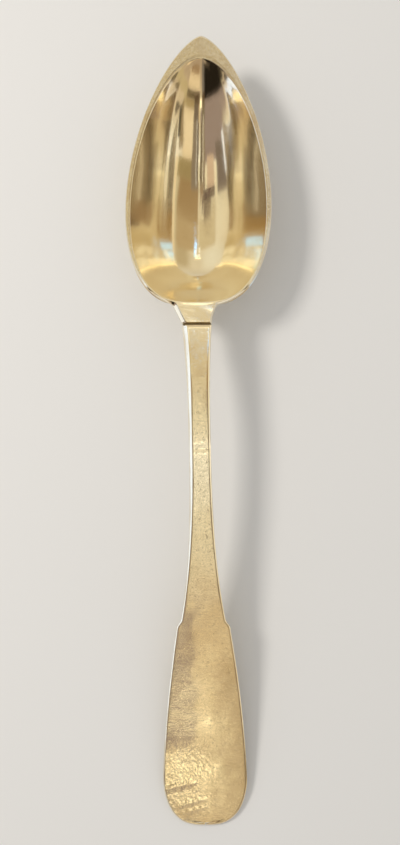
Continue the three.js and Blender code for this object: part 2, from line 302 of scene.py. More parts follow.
PANELS = [
    ((0.90, 0.84, 0.66), (-0.34, 0.40), (0.20, 0.22), 0, 0.14),
    ((0.58, 0.47, 0.28), (0.40, 0.24), (0.16, 0.30), 0, 0.12),
    ((0.36, 0.28, 0.24), (-0.42, -0.24), (0.30, 0.20), 0, 0.02),
    ((0.24, 0.19, 0.15), (-0.56, -0.02), (0.10, 0.13), 0, 0.012),
    ((0.72, 0.54, 0.38), (-0.30, 0.01), (0.09, 0.09), 0, 0.014),
    ((0.17, 0.12, 0.09), (-0.24, 0.085), (0.16, 0.022), 0, 0.006),
    ((0.17, 0.12, 0.09), (-0.22, 0.115), (0.085, 0.012), 0, 0.006),
    ((0.40, 0.27, 0.13), (0.25, 0.075), (0.24, 0.055), 0, 0.010),
    ((0.56, 0.42, 0.23), (0.25, 0.165), (0.24, 0.045), 0, 0.030),
    ((0.70, 0.58, 0.36), (-0.22, 0.165), (0.20, 0.045), 0, 0.020),
    ((0.40, 0.31, 0.15), (0.34, -0.03), (0.21, 0.055), 0, 0.008),
    ((0.92, 0.76, 0.48), (0.61, 0.12), (0.05, 0.20), -6, 0.012),
    ((0.94, 0.77, 0.50), (0.35, -0.22), (0.14, 0.14), 0, 0.010),
    ((0.36, 0.27, 0.15), (0.54, -0.26), (0.05, 0.14), 6, 0.012),
    ((0.10, 0.08, 0.05), (0.62, -0.27), (0.05, 0.10), 12, 0.012),
    ((0.45, 0.34, 0.16), (0.28, -0.395), (0.26, 0.025), 0, 0.010),
    ((0.14, 0.10, 0.05), (0.30, -0.455), (0.26, 0.030), 0, 0.012),
    ((0.88, 0.70, 0.44), (0.22, -0.56), (0.20, 0.070), 0, 0.010),
    ((0.35, 0.22, 0.11), (0.20, -0.63), (0.16, 0.025), 0, 0.010),
    ((0.62, 0.50, 0.28), (0.60, -0.50), (0.16, 0.060), -20, 0.020),
    ((0.02, 0.015, 0.01), (-0.425, -0.545), (0.28, 0.12), 0, 0.012),
    ((0.78, 0.64, 0.44), (-0.75, -0.50), (0.035, 0.16), 18, 0.010),
    ((0.22, 0.19, 0.16), (-0.11, -0.55), (0.045, 0.13), 0, 0.008),
    ((0.32, 0.25, 0.16), (-0.092, -0.12), (0.070, 0.18), 0, 0.006),
    ((0.24, 0.19, 0.12), (-0.110, -0.35), (0.050, 0.05), 0, 0.004),
    ((0.14, 0.09, 0.05), (-0.110, -0.44), (0.050, 0.04), 0, 0.008),
    ((0.07, 0.05, 0.03), (-0.054, -0.14), (0.010, 0.17), -2, 0.004),
    ((1.00, 0.92, 0.76), (-0.105, -0.14), (0.008, 0.20), -3, 0.004),
    ((0.30, 0.24, 0.17), (0.117, -0.12), (0.095, 0.18), 0, 0.006),
    ((0.22, 0.17, 0.12), (0.130, -0.35), (0.085, 0.05), 0, 0.004),
    ((0.14, 0.09, 0.05), (0.110, -0.44), (0.100, 0.04), 0, 0.008),
    ((0.07, 0.05, 0.03), (0.056, -0.16), (0.012, 0.18), 2, 0.004),
    ((0.90, 0.86, 0.76), (0.085, -0.14), (0.008, 0.18), 3, 0.004),
    ((0.40, 0.29, 0.18), (-0.07, 0.065), (0.05, 0.03), 12, 0.008),
    ((0.85, 1.40, 2.30), (0.062, 0.213), (0.032, 0.063), -6, 0.006),
    ((0.80, 0.70, 0.46), (0.062, 0.196), (0.040, 0.007), -14, 0.003),
    ((1.60, 1.60, 1.50), (0.046, 0.235), (0.008, 0.040), -6, 0.003),
    ((1.20, 1.15, 0.95), (-0.040, 0.210), (0.020, 0.024), 0, 0.004),
    ((0.90, 1.20, 1.30), (0.080, 0.270), (0.020, 0.030), 0, 0.004),
    ((1.50, 1.40, 1.10), (0.020, 0.285), (0.030, 0.022), 0, 0.004),
    ((1.20, 1.15, 0.95), (-0.040, 0.275), (0.024, 0.025), 0, 0.004),
    ((2.20, 1.90, 1.20), (-0.010, 0.318), (0.080, 0.008), 0, 0.003),
    ((1.10, 1.15, 1.25), (-0.700, -0.070), (0.075, 0.110), 0, 0.012),
    ((0.90, 0.73, 0.46), (0.000, -0.345), (0.018, 0.040), 0, 0.006),
    ((0.38, 0.30, 0.25), (-0.035, -0.338), (0.025, 0.043), 0, 0.002),
    ((0.60, 0.46, 0.28), (0.040, -0.350), (0.020, 0.045), 0, 0.012),
    ((1.90, 1.68, 1.12), (-0.022, -0.404), (0.034, 0.027), 0, 0.003),
    ((1.15, 1.30, 1.60), (-1.0, -0.08), (0.20, 0.60), 0, 0.04),
    ((1.10, 1.00, 0.85), (0.930, -0.380), (0.070, 0.050), 0, 0.020),
    ((0.07, 0.05, 0.035), (-0.83, -0.50), (0.09, 0.06), 0, 0.012),
    ((0.15, 0.11, 0.055), (0.83, -0.50), (0.09, 0.06), 0, 0.015),
]

# The photograph's camera
PHOTO_HEIGHT = 845
CAMERA_HEIGHT = 340
CAMERA_X = 0.12
CAMERA_Y = 7.75
CAMERA_TURN = -0.34
MM_PER_PIXEL = 0.3983
SENSOR = 36

Oval = namedtuple("Oval", "head tail half_width widest point")


def bowl_oval(at_tip, at_neck, at_side):
    return Oval(TIP_Y - at_tip, NECK_Y + at_neck, BOWL_HALF_WIDTH - at_side, BOWL_WIDEST, BOWL_POINT)


def hollow_oval(outwards):
    head = TIP_Y - HOLLOW_TIP_MARGIN + outwards
    tail = NECK_Y + HOLLOW_NECK_MARGIN - outwards
    return Oval(head, tail, HOLLOW_HALF_WIDTH + outwards, HOLLOW_WIDEST, HOLLOW_POINT)


EDGE = bowl_oval(0, 0, 0)
RIM = bowl_oval(RIM_BEVEL_AT_TIP, RIM_BEVEL_AT_NECK, RIM_BEVEL)
HOLLOW = hollow_oval(0)
BACK = hollow_oval(WALL)


def mix(start, end, share):
    return start + (end - start) * share


def smooth_step(start, end, value):
    share = np.clip((value - start) / (end - start), 0, 1)
    return share * share * (3 - 2 * share)


def oval_half_width(shape, y):
    """Half width of a pointed oval, which grows from both ends to its widest place."""
    along = np.clip((shape.head - y) / (shape.head - shape.tail), 0, 1)
    blunt = shape.point * (1 - shape.widest) / shape.widest
    head_side = (along / shape.widest) ** shape.point
    tail_side = ((1 - along) / (1 - shape.widest)) ** blunt
    return shape.half_width * head_side * tail_side


def filleted_max(a, b, fillet):
    """The larger of two values, with a fillet where they meet."""
    overlap = np.maximum(fillet - np.abs(a - b), 0)
    return np.maximum(a, b) + overlap**2 / (4 * fillet)


def top_height(y):
    """Height of the top surface along the middle: the rim's sheer, then the arch of the handle."""
    y = np.asarray(y, dtype=float)
    tip_side = np.clip((y - LOWEST_RIM_Y) / (TIP_Y - LOWEST_RIM_Y), 0, None)
    neck_side = np.clip((LOWEST_RIM_Y - y) / (LOWEST_RIM_Y - SEAM_Y), 0, None)
    rim = LOWEST_RIM_HEIGHT + TIP_RISE * tip_side**2 + NECK_RISE * neck_side**NECK_RISE_POWER
    t = np.clip((SEAM_Y - y) / (SEAM_Y - END_Y), 0, 1)
    rest = 1 - t
    arch = (LOWEST_RIM_HEIGHT + NECK_RISE) * rest**3 + 3 * ARCH_HEIGHT * t * rest**2
    arch = arch + 3 * APPROACH_HEIGHT * t**2 * rest + END_HEIGHT * t**3
    return np.where(y >= SEAM_Y, rim, arch)


def bevel_width(side, y):
    bevel = BEVEL[side]
    to_neck = mix(bevel["waist"], bevel["neck"], smooth_step(WAIST_Y, SEAM_Y, y))
    to_end = mix(bevel["waist"], bevel["end"], smooth_step(-WAIST_Y, -SHOULDER_FOOT_Y, -y))
    return np.where(y >= WAIST_Y, to_neck, to_end)


def tongue_half(side, y):
    run = np.clip(y - SEAM_Y, 0, TONGUE_FLARE_END)
    start = NECK_HALF_WIDTH - bevel_width(side, SEAM_Y)
    return start + TONGUE_FLARE[side] * run + TONGUE_CURVE[side] * run**2


def bowl_and_tongue_half(shape, side, y, tongue_extra):
    half = oval_half_width(shape, y)
    with_tongue = filleted_max(half, tongue_half(side, y) + tongue_extra, NECK_FILLET[side])
    return np.where(y > LOWEST_RIM_Y, half, with_tongue)


def sideways_bend(y):
    """How far the spoon's middle lies to the right: the bowl and the handle lean to opposite sides."""
    widest_y = TIP_Y - BOWL_LENGTH * BOWL_WIDEST
    share = np.clip((BEND_Y - y) / (BEND_Y - END_Y), 0, 1)
    return BOWL_LEAN * (np.maximum(y, BEND_Y) - widest_y) + HANDLE_SWAY * share * (2 - share)


def plate_thickness(y):
    return mix(TONGUE_THICKNESS, RIM_THICKNESS, smooth_step(NECK_Y, NECK_Y + TONGUE_THINNING, y))


def hollow_depth(shape, x, y):
    """Depth of the hollow inside an oval: round from side to side, and flatter from end to end."""
    to_tip = y > DEEPEST_Y
    end = np.where(to_tip, shape.head, shape.tail)
    power = np.where(to_tip, TIP_END_POWER, NECK_END_POWER)
    along = np.clip((y - DEEPEST_Y) / (end - DEEPEST_Y), 0, 1) ** power
    across = np.clip(np.abs(x) / np.maximum(oval_half_width(shape, y), NEARLY_ZERO), 0, 1)
    rise = np.hypot(across, HOLLOW_ROUNDNESS) - HOLLOW_ROUNDNESS
    full_rise = math.hypot(1, HOLLOW_ROUNDNESS) - HOLLOW_ROUNDNESS
    return HOLLOW_DEPTH * (1 - along) * (1 - rise / full_rise)


def back_height(x, y):
    """Height of the underside of the bowl piece, worn flat where it would reach the table."""
    depth = hollow_depth(BACK, x, y)
    below = WALL * (1 - WALL_THINNING * (1 - depth / HOLLOW_DEPTH) ** WALL_THINNING_POWER)
    return np.maximum(top_height(y) - filleted_max(depth + below, plate_thickness(y), BACK_FILLET), 0)


def ring_reach(edge_reach, dx, dy, share):
    """How far a ring reaches from the deepest point: an ellipse on the floor, growing into the edge."""
    floor_reach = np.hypot(dx, dy) / np.hypot(dx / FLOOR_HALF_WIDTH, dy / FLOOR_HALF_LENGTH)
    return share * mix(floor_reach, edge_reach, smooth_step(0, FLOOR_BLEND, share))


def ring_inside(loop, share):
    """A ring of points at a share of the way from the deepest point to a loop around it."""
    dx, dy = loop[:, 0], loop[:, 1] - DEEPEST_Y
    edge_reach = np.hypot(dx, dy)
    scale = ring_reach(edge_reach, dx, dy, share) / edge_reach
    return np.column_stack([dx * scale, DEEPEST_Y + dy * scale])


def outline_side(head, tail, half_width, steps):
    """Points evenly spaced down one side of an outline."""
    y = mix(head, tail, (1 - np.cos(np.pi * np.linspace(0, 1, OUTLINE_SAMPLES))) / 2)
    x = half_width(y)
    run = np.concatenate([[0], np.cumsum(np.hypot(np.diff(x), np.diff(y)))])
    at = np.linspace(0, run[-1], steps + 1)
    return np.column_stack([np.interp(at, run, x), np.interp(at, run, y)])


def bezier(start, corner, end, share):
    share = np.asarray(share)[:, None]
    return mix(mix(start, corner, share), mix(corner, end, share), share)


def round_corner(points, corner, reach):
    """Rounds a corner of a row of points over a number of steps on each side."""
    first, last = corner - reach, corner + reach
    share = np.linspace(0, 1, last - first + 1)
    points[first:last + 1] = bezier(points[first], points[corner], points[last], share)
    return points


def closed_loop(right, left):
    """A loop from its two sides, which both run from head to tail on the right."""
    return np.vstack([right, left[-2:0:-1] * (-1, 1)])


def outline_parts(shape, tail, half_width, last_steps):
    """One side of an outline: evenly spaced to the corner of the neck, and evenly spaced after it."""
    low = mix(shape.tail, shape.head, np.linspace(0, CORNER_SEARCH, CORNER_SAMPLES))
    corner_y = np.interp(NECK_CORNER, oval_half_width(shape, low), low)
    beside_bowl = outline_side(shape.head, corner_y, half_width, SIDE_STEPS)
    return np.vstack([beside_bowl, outline_side(corner_y, tail, half_width, last_steps)[1:]])


def bowl_loop(shape, tongue_extra, tail):
    """The outline of the bowl piece: down each side to the tongue's end, and across it."""
    sides = []
    for side in ("right", "left"):
        points = outline_parts(
            shape, tail, lambda y: bowl_and_tongue_half(shape, side, y, tongue_extra(side, y)), TONGUE_STEPS
        )
        across = np.linspace(1, 0, SEAM_STEPS + 1)[1:, None] * (points[-1, 0], 0) + (0, tail)
        sides.append(round_corner(np.vstack([points, across]), SIDE_STEPS + TONGUE_STEPS, 1))
    return closed_loop(*sides)


def oval_loop(shape):
    side = outline_parts(shape, shape.tail, lambda y: oval_half_width(shape, y), TONGUE_STEPS + SEAM_STEPS)
    return closed_loop(side, side)


def at_height(points, z):
    return np.column_stack([points, np.broadcast_to(z, len(points))])


def rounded_path(corners, reach):
    """A broken line whose inner corners are short curves."""
    corners = np.asarray(corners, dtype=float)
    path = [corners[:1]]
    for before, corner, after in zip(corners, corners[1:], corners[2:]):
        start = corner + (before - corner) * min(0.5, reach / np.linalg.norm(before - corner))
        end = corner + (after - corner) * min(0.5, reach / np.linalg.norm(after - corner))
        path.append(bezier(start, corner, end, np.linspace(0, 1, CORNER_STEPS + 1)))
    return np.vstack([*path, corners[-1:]])


def ripples(seed, waves, shortest, longest, slope):
    """Slow unevenness of a hand-worked surface, as a sum of waves in seeded directions."""
    draw = np.random.default_rng(seed)
    lengths = draw.uniform(shortest, longest, waves)
    angles = draw.uniform(0, math.pi, waves)
    phases = draw.uniform(0, 2 * math.pi, waves)

    def relief(x, y):
        height = 0 * x
        for length, angle, phase in zip(lengths, angles, phases):
            turn = 2 * math.pi / length
            run = x * math.cos(angle) + y * math.sin(angle)
            height = height + slope / turn / math.sqrt(waves) * np.sin(turn * run + phase)
        return height

    return relief


def groove(x, y, middle, half_length, half_width, turn, depth):
    """A shallow straight dent: how far it lowers the surface at (x, y)."""
    dx, dy = x - middle[0], y - middle[1]
    along = dx * math.cos(turn) + dy * math.sin(turn)
    across = dy * math.cos(turn) - dx * math.sin(turn)
    fade = 1 - smooth_step(half_length * DENT_FADE, half_length, np.abs(along))
    return depth * np.exp(-((across / half_width) ** 2)) * fade


bowl_ripples = ripples(seed=3, waves=9, shortest=9, longest=34, slope=0.012)
tongue_ripples = ripples(seed=8, waves=7, shortest=2.6, longest=7, slope=0.05)
handle_ripples = ripples(seed=5, waves=11, shortest=6, longest=30, slope=0.007)
edge_ripples = ripples(seed=12, waves=6, shortest=4, longest=16, slope=0.012)
streak_ripples = ripples(seed=21, waves=7, shortest=2.6, longest=7, slope=0.04)


def bowl_relief(x, y):
    on_tongue = 1 - smooth_step(*TONGUE_RIPPLES_FADE, y - NECK_Y)
    return bowl_ripples(x, y) + on_tongue * tongue_ripples(x * TONGUE_RIPPLE_STRETCH, y)


def wall_streaks(x, y):
    """Lengthwise unevenness of the hollow's side walls, which draws out what they mirror."""
    across = x / np.maximum(oval_half_width(HOLLOW, y), NEARLY_ZERO)
    on_wall = smooth_step(*STREAKS_START, np.abs(across)) * (1 - smooth_step(*STREAKS_STOP, np.abs(across)))
    off_tail = smooth_step(*STREAKS_OFF_TAIL, y - HOLLOW.tail)
    return on_wall * off_tail * streak_ripples(across * HOLLOW_HALF_WIDTH, y * STREAK_STRETCH)


def rings_to_piece(name, rings, material, node, satin_rows=range(0), satin=None):
    """A closed mesh from rings of equally many points, which stands for a node of the solids.

    Beyond the tongue, the faces in satin_rows have the satin material.
    """
    rings = np.asarray(rings)
    count = rings.shape[1]
    last = (len(rings) - 1) * count
    middles = [rings[0].mean(axis=0), rings[-1].mean(axis=0)]
    points = np.vstack([rings.reshape(-1, 3), middles])
    points[:, 0] += sideways_bend(points[:, 1])
    row = np.arange(len(rings) - 1)[:, None] * count
    here = np.arange(count)[None, :]
    there = (here + 1) % count
    quads = np.stack([row + here, row + there, row + count + there, row + count + here], axis=-1)
    centre = rings.shape[0] * count
    first_fan = [(centre, (i + 1) % count, i) for i in range(count)]
    last_fan = [(centre + 1, last + i, last + (i + 1) % count) for i in range(count)]
    mesh = bpy.data.meshes.new(name)
    mesh.from_pydata((points * MM).tolist(), [], quads.reshape(-1, 4).tolist() + first_fan + last_fan)
    mesh.shade_smooth()
    mesh.materials.append(material)
    if satin:
        mesh.materials.append(satin)
    for face in mesh.polygons[satin_rows.start * count:satin_rows.stop * count]:
        face.material_index = int(face.center.y > (NECK_Y + RIM_SATIN_START) * MM)
    piece = bpy.data.objects.new(name, mesh)
    bpy.context.scene.collection.objects.link(piece)
    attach(piece, "root")
    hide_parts(node)
    return piece


def hollow_rings(loop):
    rings = []
    for share in HOLLOW_SHARES:
        points = ring_inside(loop, share)
        x, y = points.T
        depth = filleted_max(hollow_depth(HOLLOW, x, y), 0, CREASE_FILLET)
        rings.append(at_height(points, top_height(y) - depth + bowl_relief(x, y) + wall_streaks(x, y)))
    return rings


def rim_rings(inner, top, edge):
    """The flat rim with the tongue, and the rounded edge around both."""
    rings = []
    for share in RIM_SHARES:
        points = mix(inner, top, share)
        x, y = points.T
        rings.append(at_height(points, top_height(y) + bowl_relief(x, y)))
    for outwards, down in rounded_path(RIM_SECTION, RIM_SECTION_ROUNDING):
        points = mix(mix(top, edge, max(outwards, 0)), inner, max(-outwards, 0) * RIM_SECTION_INWARDS)
        x, y = points.T
        rings.append(at_height(points, top_height(y) + bowl_relief(x, y) - down * plate_thickness(y)))
    return rings


def back_rings(edge, loop):
    """The underside of the rim and tongue, and the back of the bowl down to its worn flat."""
    rings = []
    start = ring_inside(loop, 1)
    for share in PLATE_SHARES:
        points = mix(edge, start, share)
        y = points[:, 1]
        rings.append(at_height(points, top_height(y) - plate_thickness(y)))
    for share in BACK_SHARES:
        points = ring_inside(loop, share)
        rings.append(at_height(points, back_height(*points.T) if share > WORN_SHARE else 0))
    return rings


def make_bowl(material, satin):
    hollow = oval_loop(HOLLOW)
    top = bowl_loop(RIM, lambda side, y: 0, SEAM_Y + TONGUE_LIP)
    edge = bowl_loop(EDGE, bevel_width, SEAM_Y)
    inside = hollow_rings(hollow)
    rim = rim_rings(ring_inside(hollow, HOLLOW_SHARES[-1]), top, edge)
    rings = [*inside, *rim, *back_rings(edge, oval_loop(BACK))]
    satin_start = len(inside) - SATIN_RINGS_OF_HOLLOW
    satin_rows = range(satin_start, len(inside) + len(rim) - MIRROR_RINGS_OF_RIM)
    return rings_to_piece("spoon_bowl", rings, material, "bowl", satin_rows, satin)


def handle_outline(y):
    """Half width of the handle's widest outline, with its corners still sharp."""
    above = np.clip((y - WAIST_Y) / (SEAM_Y - WAIST_Y), 0, None)
    neck = mix(WAIST_HALF_WIDTH, NECK_HALF_WIDTH, above**NECK_FLARE)
    below = np.clip((WAIST_Y - y) / (WAIST_Y - SHOULDER_Y), 0, 1)
    stem = mix(WAIST_HALF_WIDTH, STEM_FOOT_HALF_WIDTH, below**STEM_FLARE)
    stepped = np.clip((SHOULDER_Y - y) / SHOULDER_LENGTH, 0, 1)
    shoulder = mix(STEM_FOOT_HALF_WIDTH, SHOULDER_HALF_WIDTH, stepped)
    left = np.clip((y - END_ROUND_Y) / (SHOULDER_FOOT_Y - END_ROUND_Y), 0, 1)
    fiddle = mix(FIDDLE_HALF_WIDTH, SHOULDER_HALF_WIDTH, left**FIDDLE_FLARE)
    turned = np.clip((END_ROUND_Y - y) / END_ROUND_LENGTH, 0, 1)
    end = FIDDLE_HALF_WIDTH * (1 - turned**2) ** END_ROUND_POWER
    choices = [neck, stem, shoulder, fiddle]
    return np.select([y >= WAIST_Y, y >= SHOULDER_Y, y >= SHOULDER_FOOT_Y, y >= END_ROUND_Y], choices, end)


def handle_half(y):
    """Half width of the handle, with its shoulders worn a little round."""
    if y < SHOULDER_FOOT_Y - SHOULDER_WEAR_END:
        return handle_outline(y)
    steps = np.linspace(-SHOULDER_WEAR, SHOULDER_WEAR, SHOULDER_SAMPLES)
    return np.mean([handle_outline(y + step) for step in steps])


def handle_thickness(y):
    to_neck = mix(WAIST_THICKNESS, NECK_THICKNESS, smooth_step(WAIST_Y, SEAM_Y, y))
    fiddle_share = smooth_step(-WAIST_Y, -END_ROUND_Y - FIDDLE_THINNING, -y)
    to_end = mix(WAIST_THICKNESS, FIDDLE_THICKNESS, fiddle_share)
    return np.where(y >= WAIST_Y, to_neck, to_end)


def handle_relief(x, y, half):
    """Unevenness of the handle's top: ripples, the crown, dish and fall of the fiddle end, and worn dents."""
    on_fiddle = 1 - smooth_step(SHOULDER_FOOT_Y - CROWN_RUN, SHOULDER_FOOT_Y, y)
    near_end = 1 - smooth_step(DISH_FULL_Y, DISH_START_Y, y)
    relief = handle_ripples(x, y) - FIDDLE_CROWN * on_fiddle * (x / half) ** 2
    relief = relief + FIDDLE_DISH * near_end * (np.minimum(x, 0) / half) ** 2
    relief = relief - END_FALL_SLOPE * np.maximum(END_FALL_Y - y, 0)
    for dent in DENTS:
        relief = relief - groove(x, y, *dent)
    return relief


def step_lip(y):
    """How far the worn lip of the lap's step lies below the handle's top."""
    run = np.clip((y - (STEP_Y - STEP_LIP)) / STEP_LIP, 0, 1)
    return STEP_LIP_DROP * (1 - np.sqrt(1 - run**2 * STEP_LIP_ROUNDNESS))


def side_profile(side, y, thickness):
    """The handle's section at one side, as rows of inset and drop from the top face to the back."""
    bevel = bevel_width(side, y)
    corners = [
        (bevel + TOP_MARGIN, 0),
        (bevel, 0),
        (0, bevel * BEVEL_SLOPE),
        (0, thickness - LOWER_BEVEL_DROP),
        (LOWER_BEVEL, thickness),
        (LOWER_BEVEL + BACK_MARGIN, thickness),
    ]
    return rounded_path(corners, EDGE_ROUNDING)


def handle_ring(y):
    """One ring around the handle, from the left of its top face clockwise as seen from the end."""
    half = handle_half(y)
    thickness = handle_thickness(y)

    def place(side, sign):
        inset, drop = side_profile(side, y, thickness).T
        if y >= END_ROUND_Y:
            x, at = sign * (half - inset), y + 0 * inset
        else:
            turned = (END_ROUND_Y - y) / END_ROUND_LENGTH
            x = sign * half * (1 - inset / FIDDLE_HALF_WIDTH)
            at = END_ROUND_Y - turned * (END_ROUND_LENGTH - inset)
        return np.column_stack([x, at, drop])

    left = place("left", -1)
    right = place("right", 1)
    across = np.linspace(0, 1, TOP_STEPS + 1)[1:-1, None]
    back = np.linspace(0, 1, BOTTOM_STEPS + 1)[1:-1, None]
    top_row = mix(left[0], right[0], across)
    back_row = mix(right[-1], left[-1], back)
    ring = np.vstack([left[:1], top_row, right, back_row, left[:0:-1]])
    x, at, drop = ring.T
    on_top = 1 - smooth_step(0, RELIEF_FADE, drop)
    top_relief = handle_relief(x, at, half) - step_lip(at)
    relief = mix(edge_ripples(x * EDGE_RIPPLE_STRETCH, at), top_relief, on_top)
    z = np.maximum(top_height(at) - drop + relief, 0)
    return np.column_stack([x, at, z])


def below_bowl(x, y, depth):
    """Points below the underside of the bowl piece, at a depth measured square to it."""
    slope = (back_height(0, y - SLOPE_STEP) - back_height(0, y + SLOPE_STEP)) / (2 * SLOPE_STEP)
    z = back_height(x, y) - depth * np.hypot(1, slope)
    return np.column_stack([x, np.full(len(x), y), z])


def root_half(y):
    root = mix(NECK_HALF_WIDTH - ROOT_INSET, DROP_HALF_WIDTH, smooth_step(SEAM_Y, NECK_Y, y))
    turned = np.clip((y - (DROP_Y - DROP_ROUND_LENGTH)) / DROP_ROUND_LENGTH, 0, 1)
    return root * np.sqrt(1 - turned**2)


def root_ring(y, count):
    """One ring of the handle's root, flat towards the bowl and rounded on the back."""
    half = root_half(y)
    thickness = mix(ROOT_THICKNESS, DROP_THICKNESS, smooth_step(NECK_Y, DROP_Y, y))
    flat = np.linspace(-1, 1, TOP_STEPS + 1)
    turn = np.linspace(0, math.pi, count - TOP_STEPS + 1)[1:-1]
    across = np.sign(np.cos(turn)) * np.abs(np.cos(turn)) ** ROOT_SQUARENESS
    down = ROOT_CROWN * np.sin(turn) ** ROOT_SQUARENESS
    depths = np.concatenate([0 * flat, down]) * thickness + LAP_GAP
    return below_bowl(np.concatenate([flat, across]) * half, y, depths)


def make_handle(material):
    turns = np.linspace(math.pi / 2, 0, END_RINGS)[:-1]
    end = END_ROUND_Y - END_ROUND_LENGTH * np.minimum(np.sin(turns), BLUNTEST_TURN)
    shoulder_start = SHOULDER_FOOT_Y - SHOULDER_MARGIN
    shoulder_stop = SHOULDER_Y + SHOULDER_MARGIN
    stations = np.concatenate([
        end,
        np.linspace(END_ROUND_Y, shoulder_start, FIDDLE_RINGS),
        np.linspace(shoulder_start, shoulder_stop, SHOULDER_RINGS)[1:],
        np.linspace(shoulder_stop, STEP_Y - STEP_LIP, STEM_RINGS)[1:],
        np.linspace(STEP_Y - STEP_LIP, STEP_Y, LIP_RINGS)[1:],
    ])
    rings = [handle_ring(y) for y in stations]
    count = len(rings[0])
    round_end = DROP_Y - DROP_ROUND_LENGTH
    turned = np.sin(np.linspace(0, math.pi / 2, DROP_RINGS)[1:]) * BLUNTEST_DROP
    root = [*np.linspace(STEP_Y, round_end, ROOT_RINGS), *(round_end + DROP_ROUND_LENGTH * turned)]
    rings.extend(root_ring(y, count) for y in root)
    return rings_to_piece("spoon_handle", rings, material, "handle")


def film_ring(y, half, top_depth):
    """One ring of a film of solder below the bowl piece, from top_depth to just above the handle."""
    across = np.linspace(-1, 1, FILM_POINTS) * half
    low_depth = LAP_GAP - 2 * SOLDER_CLEARANCE
    return np.vstack([below_bowl(across, y, top_depth), below_bowl(across[::-1], y, low_depth)])


def make_lap_solder(material):
    bead_end = SEAM_Y - SOLDER_CLEARANCE
    bead = [STEP_Y + SOLDER_CLEARANCE, bead_end]
    film = np.linspace(bead_end + SOLDER_BEAD_STEP, NECK_Y - SOLDER_BREAK_BEFORE, LAP_FILM_RINGS)
    rings = [film_ring(y, root_half(y), BEAD_BELOW_TOP - TONGUE_THICKNESS) for y in bead]
    rings.extend(film_ring(y, root_half(y), SOLDER_CLEARANCE) for y in film)
    return rings_to_piece("lap_solder_film", rings, material, "lap_solder")


def make_drop_solder(material):
    start = NECK_Y - SOLDER_BREAK_AFTER
    stop = DROP_Y + SOLDER_FILLET - SOLDER_BEAD_STEP
    rings = []
    for y in mix(start, stop, np.sin(np.linspace(0, math.pi / 2, DROP_FILM_RINGS))):
        half = root_half(y - SOLDER_FILLET) + SOLDER_FILLET
        rings.append(film_ring(y, half, SOLDER_CLEARANCE))
    return rings_to_piece("drop_solder_film", rings, material, "drop_solder")


class Nodes:
    """A short way to write a node tree."""

    def __init__(self, tree):
        self.tree = tree
        tree.nodes.clear()

    def add(self, kind, inputs=None, **settings):
        node = self.tree.nodes.new("ShaderNode" + kind)
        for name, value in settings.items():
            setattr(node, name, value)
        for name, value in (inputs or {}).items():
            self.feed(node.inputs[name], value)
        return node

    def feed(self, socket, value):
        if isinstance(value, bpy.types.NodeSocket):
            self.tree.links.new(value, socket)
        else:
            socket.default_value = value

    def math(self, operation, *values):
        node = self.add("Math", operation=operation)
        for socket, value in zip(node.inputs, values):
            self.feed(socket, value)
        return node.outputs[0]

    def ramp(self, value, start, end, low=0.0, high=1.0):
        """A smooth step from low to high while value goes from start to end."""
        inputs = {"Value": value, "From Min": start, "From Max": end, "To Min": low, "To Max": high}
        return self.add("MapRange", inputs, interpolation_type="SMOOTHSTEP").outputs["Result"]

    def band(self, value, start, end, soft):
        """1 between start and end, and 0 outside, with soft sides."""
        rise = self.ramp(value, start - soft, start + soft)
        fall = self.ramp(value, end - soft, end + soft, 1.0, 0.0)
        return self.math("MULTIPLY", rise, fall)

    def blend(self, share, first, second):
        """Mixes two colours, for which the node has inputs 6 and 7 and output 2."""
        node = self.add("Mix", {"Factor": share}, data_type="RGBA")
        self.feed(node.inputs[6], first)
        self.feed(node.inputs[7], second)
        return node.outputs[2]

    def ramp_colour(self, value, stops):
        """A colour that changes along a value, from a rising list of places with their colours."""
        node = self.add("ValToRGB", {"Fac": value})
        points = node.color_ramp.elements
        for place, _ in stops[2:]:
            points.new(place)
        for point, (place, tint) in zip(points, stops):
            point.position = place
            point.color = rgb(*tint)
        return node.outputs["Color"]

    def noise(self, vector, scale, detail, roughness=0.5):
        inputs = {"Vector": vector, "Scale": scale, "Detail": detail, "Roughness": roughness}
        return self.add("TexNoise", inputs).outputs["Fac"]

    def mapped(self, vector, turn=0.0, scale=(1, 1, 1)):
        inputs = {"Vector": vector, "Rotation": (0, 0, turn), "Scale": scale}
        return self.add("Mapping", inputs).outputs["Vector"]


def rgb(red, green, blue):
    return (red, green, blue, 1.0)


def new_material(name):
    material = bpy.data.materials.new(name)
    material.use_nodes = True
    return material, Nodes(material.node_tree)


def finish_material(nodes, inputs):
    shader = nodes.add("BsdfPrincipled", inputs)
    output = nodes.add("OutputMaterial")
    nodes.feed(output.inputs["Surface"], shader.outputs["BSDF"])


def finish_metal(nodes, colour, rough, height, bump):
    """A metal surface; bump is the strength and, in millimetres, the distance of its fine relief."""
    strength, distance = bump
    relief = nodes.add("Bump", {"Height": height, "Strength": strength, "Distance": distance * MM})
    normal = relief.outputs["Normal"]
    finish_material(nodes, {"Base Color": colour, "Metallic": 1.0, "Roughness": rough, "Normal": normal})


def scratches(nodes, place, turn, length, width, seed):
    """Thin straight scratches in one direction, 1 on a scratch and 0 between; sizes in millimetres."""
    shift = [seed * step for step in SCRATCH_SHIFT]
    moved = nodes.add("VectorMath", {0: place, 1: shift}, operation="ADD").outputs[0]
    turned = nodes.mapped(moved, turn)
    stretched = nodes.mapped(turned, 0, (1 / (length * MM), 1 / (width * MM), 1 / (width * MM)))
    return nodes.ramp(nodes.noise(stretched, 1.0, 0.0), *SCRATCH_RANGE)


